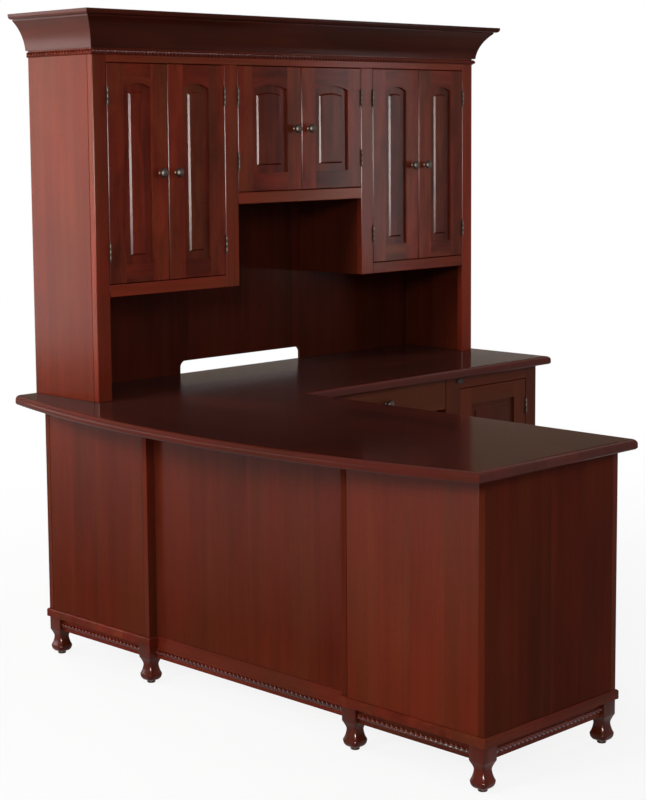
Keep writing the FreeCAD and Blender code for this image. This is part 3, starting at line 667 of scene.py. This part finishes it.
# The two tops: solid cherry slabs butted into an L, the front sawn to a shallow bow, with a round-over run
# along every edge that shows and a small chamfer below it. They take one more coat, rubbed to a soft sheen.
def edge_stations(low, high):
    """How far in from the outline, and at what height, the moulded edge passes on its way up."""
    chamfer = 0.004
    radius = 0.013
    steps = 10
    stations = [(chamfer, low), (chamfer * 0.1, low + chamfer * 0.9), (0.0, low + chamfer * 1.1)]
    for step in range(steps + 1):
        turn = math.radians(90 * step / steps)
        stations.append((radius * (1 - math.cos(turn)), high - radius * (1 - math.sin(turn))))
    return stations


def bow_front(low, high, rise, inset):
    """Points along the bowed front from left to right, with its two ends at the wall and at the free edge."""
    half_span = (high.x - low.x) / 2
    radius = (half_span ** 2 + rise ** 2) / (2 * rise)
    centre_y = low.y + radius
    ring = []
    right_x = high.x - inset
    for step in range(bow_steps + 1):
        x = low.x + (right_x - low.x) * step / bow_steps
        ring.append((x, centre_y - math.sqrt((radius - inset) ** 2 - (x - low.x - half_span) ** 2)))
    return ring


def top_slab(node, outline):
    """A top lofted through its edge stations, where outline gives the ring of points at an inset."""
    low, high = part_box(node)
    rings = []
    for inset, level in edge_stations(low.z, high.z):
        rings.append([Vector((x, y, level)) for x, y in outline(low, high, inset)])
    mesh = lofted(rings)
    lay_grain(mesh, [(0, len(mesh.vertices))], stain_and_shade=(top_stain,))
    moulded = np.array([1.0] * (len(mesh.vertices) - len(rings[-1])) + [0.0] * len(rings[-1]))
    mesh.attributes.new("moulded", "FLOAT", "POINT").data.foreach_set("value", moulded)
    # The moulded edge is coloured lighter than the flat: painted light, for the light that its round-over
    # catches.
    tone = np.empty(len(moulded))
    mesh.attributes["tone"].data.foreach_get("value", tone)
    mesh.attributes["tone"].data.foreach_set("value", tone + edge_painted_light * moulded)
    return shown(node + ".wood", soft_shaded(mesh), rubbed_cherry.material, "desk", "cherry", node)


def desk_outline(low, high, inset):
    ring = bow_front(low, high, bow_rise, inset)
    inner_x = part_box("return_top")[1].x
    back = [(high.x - inset, high.y - inset), (inner_x - inset, high.y - inset), (inner_x - inset, high.y)]
    return ring + back + [(low.x, high.y)]


def return_outline(low, high, inset):
    right_x = high.x - inset
    back_y = high.y - inset
    return [(low.x, low.y), (right_x, low.y), (right_x, back_y), (low.x, back_y)]


bow_steps = 120
bow_rise = 0.115
top_stain = 0.22
# How much lighter the moulded edge is coloured: painted light.
edge_painted_light = 0.22
rubbed_cherry = stained_cherry("rubbed_cherry", 0.0015, 0.17, 0.5, 0.1)
rubbed_cherry.give(Coat_Weight=0.55 - rubbed_cherry.attribute("moulded") * 0.36, Coat_Roughness=0.12)
rubbed_cherry.give(Sheen_Weight=0.004, Sheen_Roughness=0.5)
tops = [top_slab("desk_top", desk_outline), top_slab("return_top", return_outline)]


# The hutch carcass: ends, dividers, floors, shelves, a top and a back with a cord slot, housed and glued
# behind a face frame. All are stained cherry. The back is coloured darkest of all: a darker stain, made
# darker still as painted shade for the recess under the cabinets.
joinery("hutch_uprights", along="Z", finish=panel_cherry)
joinery("hutch_top", finish=panel_cherry)
joinery("hutch_back", along="Z", finish=side_cherry, stain_and_shade=(0.20,))
joinery("hutch_cabinet_floors")
joinery("shelves")
joinery("hutch_face_frame", arris=0.0016, stain_and_shade=(0.64,), cuts=1)


# The crown: a cap over a deep cove, run in lengths of cherry, mitred at the corners and pinned to the
# carcass, with the same rope moulding, in a closer twist, planted under it on three sides.
def hutch_ropes():
    pitch = 0.0260
    low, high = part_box("hutch_rope_moulding")
    level = (low.z + high.z) / 2
    radius = (high.z - low.z) / 2
    wall = low.x
    face = high.x - radius
    left = low.y + radius
    right = high.y - radius
    corner_left = Vector((face, left, level))
    corner_right = Vector((face, right, level))
    overrun = radius * 1.5
    front = rope_run(
        corner_left - Vector((0, overrun, 0)), corner_right + Vector((0, overrun, 0)), radius, pitch,
        [(corner_left, (-1, 0, 0)), (corner_left, (-1, -1, 0)), (corner_right, (-1, 1, 0))],
    )
    ends = []
    for corner, side in ((corner_left, -1), (corner_right, 1)):
        start = Vector((wall, corner.y, level))
        cuts = [(corner, (0, -side, 0)), (corner, (1, -side, 0))]
        ends.append(rope_run(start, corner + Vector((overrun, 0, 0)), radius, pitch, cuts))
    return joined([front, *ends], "hutch_rope")


crown_cherry = stained_cherry("crown_cherry", 0.02, 0.22, 0.5, 0.3)
crown_cherry.give(Coat_Weight=crown_cherry.attribute("tone").spread(0.20, 0.28) * 0.36, Coat_Roughness=0.45)
# The front length is coloured far darker than the two end lengths: painted shade on the front of the crown.
# The ends, being lighter, also take a fuller coat.
joinery("hutch_crown", arris=0.0007, finish=crown_cherry.material, stain_and_shade=(0.14, 0.35, 0.35))
hutch_rope, hutch_rope_spans = hutch_ropes()
lay_grain(hutch_rope, hutch_rope_spans, stain_and_shade=(0.46,))
hutch_rope.set_sharp_from_angle(angle=strand_crease)
shown("hutch_rope_moulding.twist", hutch_rope, carved_cherry, "desk", "cherry", "hutch_rope_moulding")


# Seven cherry doors: square-edged stiles and rails, an arched top rail on the hutch, and a raised panel that
# floats in a groove. The stiles run full height, and a small flat chamfer is planed round each door.
doors = [
    "left_outer_door", "left_inner_door", "centre_left_door", "centre_right_door", "right_inner_door",
    "right_outer_door", "return_door",
]
door_cherry = stained_cherry("door_cherry", 0.03, 0.16, blotched=1.0).material
member_stain = (0.58, 0.54, 0.44, 0.48)
for door in doors:
    finish = return_cherry if door == "return_door" else door_cherry
    joinery(door + "_frame", arris=0.0016, finish=finish, stain_and_shade=member_stain, cuts=1, framed=True)
    joinery(door + "_panel", arris=0.0007, along="Z", finish=finish, stain_and_shade=(0.42,))


# Knobs and hinges of cast brass in an antique bronze patina: a mushroom knob screwed through the stile, and
# butt hinges with tipped barrels. A door's own halves ride with it, and the others stay on the face frames.
def antique_bronze():
    bronze = Finish("antique_bronze", Specular_IOR_Level=0.5)
    place = bronze.add("ShaderNodeTexCoord", out="Object")
    patina = bronze.noise(bronze.along(place, (220.0, 220.0, 220.0)), 4.0, 0.6)
    rubbed = bronze.noise(bronze.along(place, (70.0, 70.0, 70.0)), 2.0)
    scratches = bronze.noise(bronze.along(place, (2200.0, 2200.0, 300.0)), 1.0)
    stops = [(0.3, (0.018, 0.012, 0.009)), (0.55, (0.042, 0.031, 0.024)), (0.8, (0.090, 0.072, 0.056))]
    colour = bronze.add("ShaderNodeValToRGB", {"stops": stops}, {"Fac": patina * 0.6 + rubbed * 0.4})
    bump = bronze.add("ShaderNodeBump", {}, {"Strength": 0.12, "Distance": 0.0002, "Height": scratches})
    rough = 0.46 + (patina - 0.5) * 0.3 + (scratches - 0.5) * 0.08
    bronze.give(Base_Color=colour, Roughness=rough, Metallic=0.82 + (rubbed - 0.5) * 0.2, Normal=bump)
    return bronze.material


def knob_mesh():
    """A mushroom knob that stands out along X from its seat."""
    profile = [
        (0.0070, 0.0), (0.0075, 0.0004), (0.0075, 0.0014), (0.0070, 0.0022), (0.0055, 0.0029),
        (0.0046, 0.0042), (0.0041, 0.0060), (0.0040, 0.0080), (0.0044, 0.0098), (0.0060, 0.0112),
        (0.0088, 0.0122),
        (0.0114, 0.0132), (0.0129, 0.0143), (0.0135, 0.0157), (0.0134, 0.0172), (0.0129, 0.0190),
        (0.0120, 0.0207), (0.0107, 0.0223), (0.0089, 0.0237), (0.0067, 0.0248), (0.0042, 0.0256),
        (0.0017, 0.0260), (0.0004, 0.0260),
    ]
    knob_sides = 40
    mesh = turned(profile, knob_sides)
    mesh.transform(Matrix.Rotation(math.radians(90), 4, "Y"))
    return mesh


def hinge_half(knuckles, tipped):
    """Half a hinge about a Z axis at the origin: its knuckles, and a leaf behind them on the -Y side."""
    radius = 0.0032
    shoulder = 0.0004
    half_length = 0.024
    leaf_faces = (-0.0002, -0.0010)
    barrel_sides = 24
    tip = [
        (0.0022, 0.0008), (0.0013, 0.0014), (0.0017, 0.0022), (0.0019, 0.0031), (0.0015, 0.0041),
        (0.0006, 0.0045),
    ]
    meshes = []
    for low, high in knuckles:
        profile = [(radius - shoulder, low), (radius, low + shoulder), (radius, high - shoulder)]
        profile.append((radius - shoulder, high))
        if tipped and low < 0:
            profile = [(wide, low - reach) for wide, reach in reversed(tip)] + profile
        if tipped and high > 0:
            profile = profile + [(wide, high + reach) for wide, reach in tip]
        meshes.append(turned(profile, barrel_sides))
    leaf = [(-0.0195, -half_length), (-0.0035, -half_length), (-0.0035, half_length), (-0.0195, half_length)]
    meshes.append(lofted([[Vector((x, y, z)) for x, z in leaf] for y in leaf_faces]))
    for low, high in knuckles:
        tab = [(-0.0036, low), (-0.0004, low), (-0.0004, high), (-0.0036, high)]
        meshes.append(lofted([[Vector((x, y, z)) for x, z in tab] for y in leaf_faces]))
    made = joined(meshes, "hinge_half")[0]
    made.set_sharp_from_angle(angle=crease)
    return made


bronze_finish = antique_bronze()
one_knob = knob_mesh()
door_half = hinge_half([(-0.0080, 0.0080)], False)
fixed_half = hinge_half([(-0.0240, -0.0083), (0.0083, 0.0240)], True)
hinge_places = []
hinge_turns = []
for door in doors:
    spots = [(Vector(lowest), Vector(highest)) for lowest, highest in board_boxes(door + "_hardware")]
    spots.sort(key=lambda spot: spot[1].z - spot[0].z)
    knob_low, knob_high = spots[0]
    seat = Vector((knob_low.x, (knob_low.y + knob_high.y) / 2, (knob_low.z + knob_high.z) / 2))
    knob_piece = set_out(one_knob, [seat], bronze_finish)
    joint = [joint for joint in frame["joints"] if joint["child"] == door][0]
    pin = Vector(joint["pos_m"])
    low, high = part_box(door + "_frame")
    low_side = pin.y < (low.y + high.y) / 2
    places = [Vector((pin.x, pin.y, (spot[0].z + spot[1].z) / 2)) for spot in spots[1:]]
    own_turn = (math.pi, 0, 0) if low_side else (0, 0, 0)
    own_halves = set_out(door_half, places, bronze_finish, [own_turn] * len(places))
    fittings = joined([knob_piece, own_halves], door + "_fittings")[0]
    fittings.set_sharp_from_angle(angle=crease)
    shown(door + ".fittings", fittings, bronze_finish, door, "antique_bronze", door + "_hardware")
    hinge_places += places
    hinge_turns += [(0, 0, 0) if low_side else (math.pi, 0, 0)] * len(places)
fixed_halves = set_out(fixed_half, hinge_places, bronze_finish, hinge_turns)
fixed_halves.set_sharp_from_angle(angle=crease)
shown("hinge_plates.fixed", fixed_halves, bronze_finish, "desk", "antique_bronze", "hinge_plates")


# Four drawers: an inset cherry front with a knob, screwed to a box of pale poplar with a let-in bottom, which
# slides on cherry runners.
def pale_poplar():
    wood = Finish("pale_poplar", Specular_IOR_Level=0.25)
    grain = wood.attribute("grain", "Vector")
    bands = wood.noise(wood.along(grain, (1.1, 36.0, 36.0)), 4.0, 0.6, 0.3)
    fibres = wood.noise(wood.along(grain, (10.0, 480.0, 480.0)), 3.0, 0.6)
    tone = wood.attribute("tone")
    stops = [(0.2, (0.33, 0.20, 0.10)), (0.5, (0.50, 0.34, 0.19)), (0.8, (0.62, 0.46, 0.28))]
    depth = (bands - 0.5) * 0.7 + (fibres - 0.5) * 0.35 + tone
    colour = wood.add("ShaderNodeValToRGB", {"stops": stops}, {"Fac": depth})
    bump = wood.add("ShaderNodeBump", {}, {"Strength": 0.12, "Distance": 0.0004, "Height": fibres})
    wood.give(Base_Color=colour, Roughness=0.48 + (fibres - 0.5) * 0.2, Normal=bump)
    return wood.material


poplar = pale_poplar()
joinery("drawer_runners", slot="drawer_wood", stain_and_shade=(0.3,))
for drawer in ("upper_drawer", "middle_drawer", "file_drawer", "return_drawer"):
    finish = return_cherry if drawer == "return_drawer" else cherry
    joinery(drawer + "_front", arris=0.0016, finish=finish, cuts=1)
    joinery(drawer + "_box", arris=0.0006, finish=poplar, slot="drawer_wood")
    low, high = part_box(drawer + "_knob")
    middle = (low + high) / 2
    faces_x = high.x - low.x < high.y - low.y
    seat = Vector((low.x, middle.y, middle.z)) if faces_x else Vector((middle.x, low.y, middle.z))
    turn = (0, 0, 0) if faces_x else (0, 0, math.pi / 2)
    pull = set_out(one_knob, [seat], bronze_finish, [turn])
    pull.set_sharp_from_angle(angle=crease)
    shown(drawer + ".knob", pull, bronze_finish, drawer, "antique_bronze", drawer + "_knob")


# A small plate of blackened steel, taken to be a lock, is let into the rail above the return's door. Its
# edges are eased and its surface is mottled.
def dark_steel():
    steel = Finish("dark_steel", Specular_IOR_Level=0.1)
    place = steel.add("ShaderNodeTexCoord", out="Object")
    mottle = steel.noise(steel.along(place, (400.0, 400.0, 400.0)), 3.0)
    stops = [(0.3, (0.010, 0.009, 0.009)), (0.7, (0.035, 0.031, 0.029))]
    colour = steel.add("ShaderNodeValToRGB", {"stops": stops}, {"Fac": mottle})
    bump = steel.add("ShaderNodeBump", {}, {"Strength": 0.15, "Distance": 0.0002, "Height": mottle})
    steel.give(Base_Color=colour, Roughness=0.55 + (mottle - 0.5) * 0.3, Metallic=0.3, Normal=bump)
    return steel.material


steel_finish = dark_steel()
joinery("return_lock", arris=0.0008, finish=steel_finish, slot="dark_fitting")


# The room: a pale floor, a white surround, a dim warm wall high up and far behind for the polish to reflect,
# and soft lamps round the desk. Most of the lamps are hidden from the polish, so that they leave no glare.
def looked_at(nodes):
    """1 for what the camera looks at, also in a mirror or through glass, and 0 for what only gives light."""
    path = nodes.tree.nodes.new("ShaderNodeLightPath")
    seen = Tap(nodes, path.outputs["Is Camera Ray"]) + Tap(nodes, path.outputs["Is Glossy Ray"])
    return seen + Tap(nodes, path.outputs["Is Transmission Ray"])


def pale_floor():
    """White where it is looked at, and a little shaded close round the desk."""
    shade = 0.13
    shade_start, shade_end = 1.2, 3.2
    floor = bpy.data.materials.new("pale_floor")
    floor.use_nodes = True
    nodes = Nodes(floor.node_tree)
    floor.node_tree.nodes.clear()
    seen = looked_at(nodes)
    place = nodes.add("ShaderNodeTexCoord", out="Object")
    away = nodes.add("ShaderNodeVectorMath", {"operation": "LENGTH"}, {0: place}, out="Value")
    lit = shade * (1 - away.spread(shade_start, shade_end))
    matt = nodes.add("ShaderNodeBsdfDiffuse", {}, {"Color": 0.45 + seen * 0.5})
    white = nodes.add("ShaderNodeEmission", {}, {"Color": (1.0, 1.0, 1.0, 1.0), "Strength": 1.0})
    mixed = nodes.add("ShaderNodeMixShader", {}, {0: seen * (1 - lit), 1: matt, 2: white})
    output = floor.node_tree.nodes.new("ShaderNodeOutputMaterial")
    nodes.join(mixed, output.inputs["Surface"])
    return floor


def lamp(name, place, target, size, watts, spread=180, mirrored=False):
    """A soft square lamp. Only a mirrored one is seen in the polish."""
    light = bpy.data.lights.new(name, "AREA")
    light.shape = "RECTANGLE"
    light.size, light.size_y = size
    light.energy = watts
    light.spread = math.radians(spread)
    holder = bpy.data.objects.new(name, light)
    bpy.context.scene.collection.objects.link(holder)
    holder.location = place
    aim = Vector(target) - Vector(place)
    holder.rotation_euler = aim.to_track_quat("-Z", "Y").to_euler()
    holder.visible_glossy = mirrored
    return holder


def dim_wall():
    wall = bpy.data.materials.new("dim_wall")
    wall.use_nodes = True
    wall.node_tree.nodes.clear()
    nodes = Nodes(wall.node_tree)
    dim_brown = (0.15, 0.10, 0.06, 1.0)
    glow = nodes.add("ShaderNodeEmission", {}, {"Color": dim_brown, "Strength": 1.0})
    nodes.join(glow, wall.node_tree.nodes.new("ShaderNodeOutputMaterial").inputs["Surface"])
    return wall


def stage_sheet(name, corners, finish):
    mesh = bpy.data.meshes.new(name)
    mesh.from_pydata(corners, [], [(0, 1, 2, 3)])
    mesh.materials.append(finish)
    sheet = bpy.data.objects.new(name, mesh)
    scene.collection.objects.link(sheet)


scene = bpy.context.scene
floor_half = 30.0
floor_level = -0.0005
floor_signs = ((-1, -1), (1, -1), (1, 1), (-1, 1))
floor_corners = [(x * floor_half, y * floor_half, floor_level) for x, y in floor_signs]
stage_sheet("floor", floor_corners, pale_floor())
wall_distance = 40.0
wall_half_width = 14.0
wall_away = Vector((-0.7149, 0.6992, 0.0)) * wall_distance
wall_half = Vector((0.6992, 0.7149, 0.0)) * wall_half_width
wall_low = Vector((0.0, 0.0, 4.8))
wall_high = Vector((0.0, 0.0, 20.0))
wall_corners = [
    wall_away - wall_half + wall_low, wall_away + wall_half + wall_low, wall_away + wall_half + wall_high,
    wall_away - wall_half + wall_high,
]
stage_sheet("dim_wall", wall_corners, dim_wall())

world = bpy.data.worlds.new("surround")
world.use_nodes = True
scene.world = world
world.node_tree.nodes.clear()
sky = Nodes(world.node_tree)
given_light = 0.16
strength = given_light + looked_at(sky) * (1 - given_light)
surround = sky.add("ShaderNodeBackground", {}, {"Color": (1.0, 1.0, 1.0, 1.0), "Strength": strength})
sky.join(surround, world.node_tree.nodes.new("ShaderNodeOutputWorld").inputs["Surface"])

lamp("camera_lamp", (3.2, -4.0, 2.4), (0.0, -0.2, 0.8), (0.8, 0.8), 60)
lamp("front_window", (-0.3, -5.6, 2.4), (0.0, -0.7, 0.8), (1.0, 1.4), 105)
lamp("right_window", (5.4, 0.6, 2.4), (-0.3, 0.0, 1.1), (1.5, 1.5), 31)
left_window = lamp("left_window", (-3.9, -3.0, 1.4), (-0.7, -0.74, 1.3), (1.0, 2.0), 60, mirrored=True)
lamp("ceiling_lamp", (0.2, -2.0, 4.2), (0.0, -0.4, 0.7), (1.5, 1.5), 32)
lamp("back_window", (-5.4, 0.8, 2.4), (-0.8, 0.1, 1.0), (1.6, 1.6), 85)
lamp("user_window", (1.4, 5.6, 2.4), (0.1, 0.2, 0.7), (1.6, 1.6), 85)
lamp("hutch_lamp", (-1.2, -2.5, 1.9), (-0.72, -0.74, 1.4), (0.6, 0.6), 6.5, 60)
door_lamp = lamp("door_lamp", (2.2, 3.25, 1.5), (-0.55, 0.55, 1.45), (0.4, 1.5), 3.0, 60, True)
glint_lamp = lamp("glint_lamp", (3.75, -4.3, 1.35), (-0.2, -0.2, 1.2), (2.3, 0.9), 1400, mirrored=True)
# A strip stands lower than the flat of the tops, which can't mirror it, and glints on their moulded edges.
edge_strip = lamp("edge_strip", (-3.2, -3.7, 0.44), (0.0, -0.8, 0.6), (5.6, 0.6), 47, mirrored=True)
warm_white = (1.0, 0.90, 0.85)
for glint in (glint_lamp, edge_strip):
    glint.data.color = warm_white
    glint.visible_diffuse = False
# The mirrored lamps that stand higher are kept off the two tops, where they would show as white glare.
tops_lit = bpy.data.collections.new("tops_lit")
tops_shaded = bpy.data.collections.new("tops_shaded")
for top in tops:
    tops_lit.objects.link(top)
    tops_shaded.objects.link(top)
for held in tops_shaded.collection_objects:
    held.light_linking.link_state = "EXCLUDE"
edge_strip.light_linking.receiver_collection = tops_lit
for window in (left_window, door_lamp, glint_lamp):
    window.light_linking.receiver_collection = tops_shaded


# The camera stands out from the right-hand front corner, at about eye height, and looks a little down, as the
# photograph does. Its shift frames the desk as the photograph is cropped.
azimuth = math.radians(45.63)
pitch = math.radians(6.51)
roll = math.radians(-0.52)
level = math.cos(pitch)
forward = Vector((-math.sin(azimuth) * level, math.cos(azimuth) * level, -math.sin(pitch)))
level_right = Vector((math.cos(azimuth), math.sin(azimuth), 0))
level_up = level_right.cross(forward)
right = level_right * math.cos(roll) + level_up * math.sin(roll)
up = level_up * math.cos(roll) - level_right * math.sin(roll)
view = bpy.data.cameras.new("view")
view.lens = 81.205
view.sensor_width = 36.0
view.shift_x = 0.038
view.shift_y = -0.0825
view.clip_end = 200.0
stand = bpy.data.objects.new("view", view)
scene.collection.objects.link(stand)
standpoint = (3.3491, -3.8160, 1.5146)
facing = Matrix((right, up, -forward)).transposed().to_4x4()
stand.matrix_world = Matrix.Translation(standpoint) @ facing
scene.camera = stand
scene.view_settings.view_transform = "Standard"
